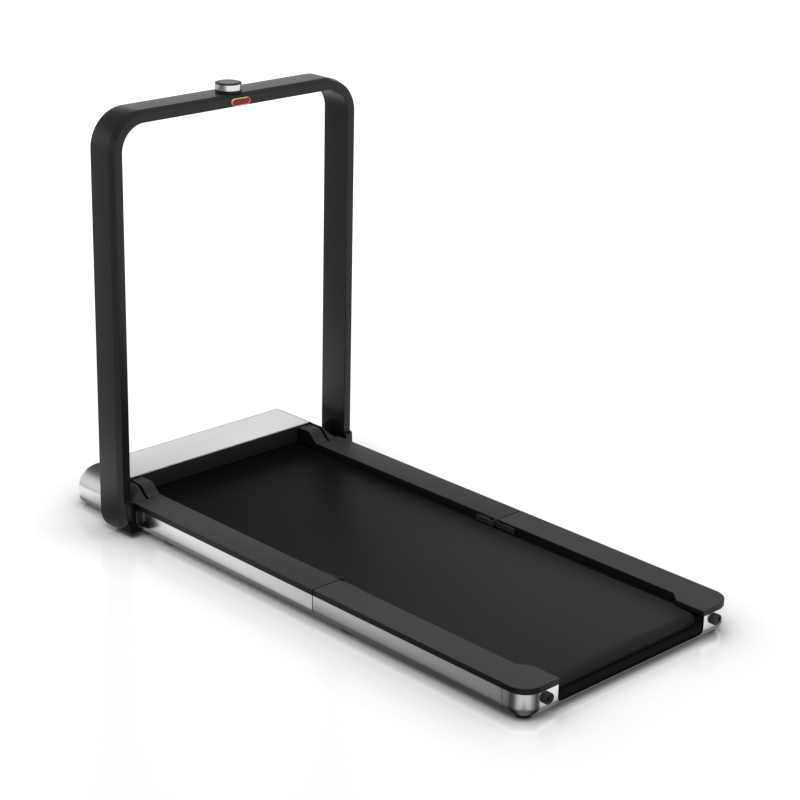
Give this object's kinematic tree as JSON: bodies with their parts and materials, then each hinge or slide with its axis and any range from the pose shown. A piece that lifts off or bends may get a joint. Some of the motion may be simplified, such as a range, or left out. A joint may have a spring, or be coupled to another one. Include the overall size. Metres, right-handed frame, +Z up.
{
  "type": "folding treadmill",
  "caption": "Low folding treadmill: split deck with walking belt, silver side rails, domed motor hood, swing-down handrail frame with speed knob and pull-out safety key",
  "frame": {"origin": "on the floor under the middle of the whole machine", "axes": "+X to the user's right, +Y forward towards the hood, +Z up"},
  "size_m": [0.73, 1.5082, 1.028],
  "materials": {
    "silver_panel": "satin silver coat",
    "brushed_cap": "brushed",
    "hood_silver": "silver lacquer, satin",
    "hood_plate": "satin",
    "black_trim": "fine matt texture",
    "black_anodised": "satin black coat",
    "black_plastic": "satin",
    "belt_rubber": "fine matt texture",
    "waxed_board": "waxed",
    "bright_steel": "turned",
    "cast_hinge": "cast, satin",
    "black_steel": "black coat",
    "silver_pan": "silver coat",
    "foot_rubber": "matt",
    "knob_chrome": "polished",
    "knob_face": "satin",
    "dock_rim": "satin",
    "key_red": "satin",
    "motor_casing": "grey coat",
    "heat_sink": "extruded"
  },
  "bodies": {
    "chassis": {"rail_front_left": "silver_panel", "rail_front_right": "silver_panel", "trim_front_left": "black_trim", "trim_front_right": "black_trim", "bridge_cover_left": "black_trim", "bridge_cover_right": "black_trim", "hinge_plate_left": "cast_hinge", "hinge_plate_right": "cast_hinge", "heel_left": "black_plastic", "heel_right": "black_plastic", "hood_top_plate": "hood_plate", "hood_shell": "hood_silver", "hood_rear_wall": "black_plastic", "front_pan": "black_plastic", "deck_board_front": "waxed_board", "belt_front": "belt_rubber", "drive_frame": "black_steel", "axle_front": "bright_steel", "motor": "motor_casing", "drive_belt": "belt_rubber", "controller": "heat_sink", "power_entry": "black_plastic", "fold_hinge_front_left": "black_steel", "fold_hinge_front_right": "black_steel", "foot_mid_left": "foot_rubber", "foot_mid_right": "foot_rubber"},
    "rear_deck": {"rail_rear_left": "silver_panel", "rail_rear_right": "silver_panel", "trim_rear_left": "black_trim", "trim_rear_right": "black_trim", "corner_cap_left": "brushed_cap", "corner_cap_right": "brushed_cap", "adjuster_plug_left": "foot_rubber", "adjuster_plug_right": "foot_rubber", "rear_frame": "black_plastic", "rear_pan": "silver_pan", "deck_board_rear": "waxed_board", "belt_rear": "belt_rubber", "axle_rear": "bright_steel", "fold_hinge_rear_left": "black_steel", "fold_hinge_rear_right": "black_steel", "foot_seam_left": "foot_rubber", "foot_seam_right": "foot_rubber", "foot_rear_left": "foot_rubber", "foot_rear_right": "foot_rubber"},
    "front_roller": {"roller_front": "bright_steel", "drive_pulley": "black_steel"},
    "rear_roller": {"roller_rear": "bright_steel"},
    "motor_shaft": {"motor_shaft": "bright_steel"},
    "wheel_left": {"transport_wheel_left": "foot_rubber"},
    "wheel_right": {"transport_wheel_right": "foot_rubber"},
    "power_switch": {"switch_rocker": "black_plastic"},
    "handrail": {"handrail_frame": "black_anodised", "pivot_pin_left": "bright_steel", "pivot_pin_right": "bright_steel", "knob_base": "black_plastic", "safety_key_dock": "dock_rim"},
    "knob": {"knob_ring": "knob_chrome"},
    "knob_cap": {"knob_button": "knob_face"},
    "key": {"safety_key": "key_red"}
  },
  "joints": [
    {"name": "deck_fold", "type": "hinge", "parent": "chassis", "child": "rear_deck", "pos_m": [0, -0.1169, 0.07455], "axis": [-1, 0, 0], "range_deg": [0, 180]},
    {"name": "handrail_fold", "type": "hinge", "parent": "chassis", "child": "handrail", "pos_m": [0, 0.5556, 0.08], "axis": [1, 0, 0], "range_deg": [0, 86]},
    {"name": "knob_turn", "type": "hinge", "parent": "handrail", "child": "knob", "pos_m": [0, 0.5556, 1.004], "axis": [0, 0, 1], "continuous": true},
    {"name": "knob_press", "type": "slide", "parent": "handrail", "child": "knob_cap", "axis": [0, 0, -1], "range_m": [0, 0.0012], "stiffness_N_per_m": 1500, "springref_m": -0.0006},
    {"name": "key_pull", "type": "slide", "parent": "handrail", "child": "key", "axis": [0, -1, 0], "range_m": [0, 0.025]},
    {"name": "front_roller_spin", "type": "hinge", "parent": "chassis", "child": "front_roller", "pos_m": [0, 0.6181, 0.035], "axis": [1, 0, 0], "continuous": true},
    {"name": "rear_roller_spin", "type": "hinge", "parent": "rear_deck", "child": "rear_roller", "pos_m": [0, -0.7019, 0.035], "axis": [1, 0, 0], "continuous": true},
    {"name": "motor_spin", "type": "hinge", "parent": "chassis", "child": "motor_shaft", "pos_m": [0, 0.6881, 0.05], "axis": [1, 0, 0], "continuous": true},
    {"name": "wheel_left_spin", "type": "hinge", "parent": "chassis", "child": "wheel_left", "pos_m": [-0.281, 0.6851, 0.021], "axis": [1, 0, 0], "continuous": true},
    {"name": "wheel_right_spin", "type": "hinge", "parent": "chassis", "child": "wheel_right", "pos_m": [0.281, 0.6851, 0.021], "axis": [1, 0, 0], "continuous": true},
    {"name": "power_rocker", "type": "hinge", "parent": "chassis", "child": "power_switch", "pos_m": [0.165, 0.7501, 0.0358], "axis": [0, 0, 1], "range_deg": [-16, 0]}
  ],
  "couplings": [
    {"joint": "front_roller_spin", "follows": "motor_spin", "ratio": 0.439},
    {"joint": "rear_roller_spin", "follows": "motor_spin", "ratio": 0.439}
  ]
}
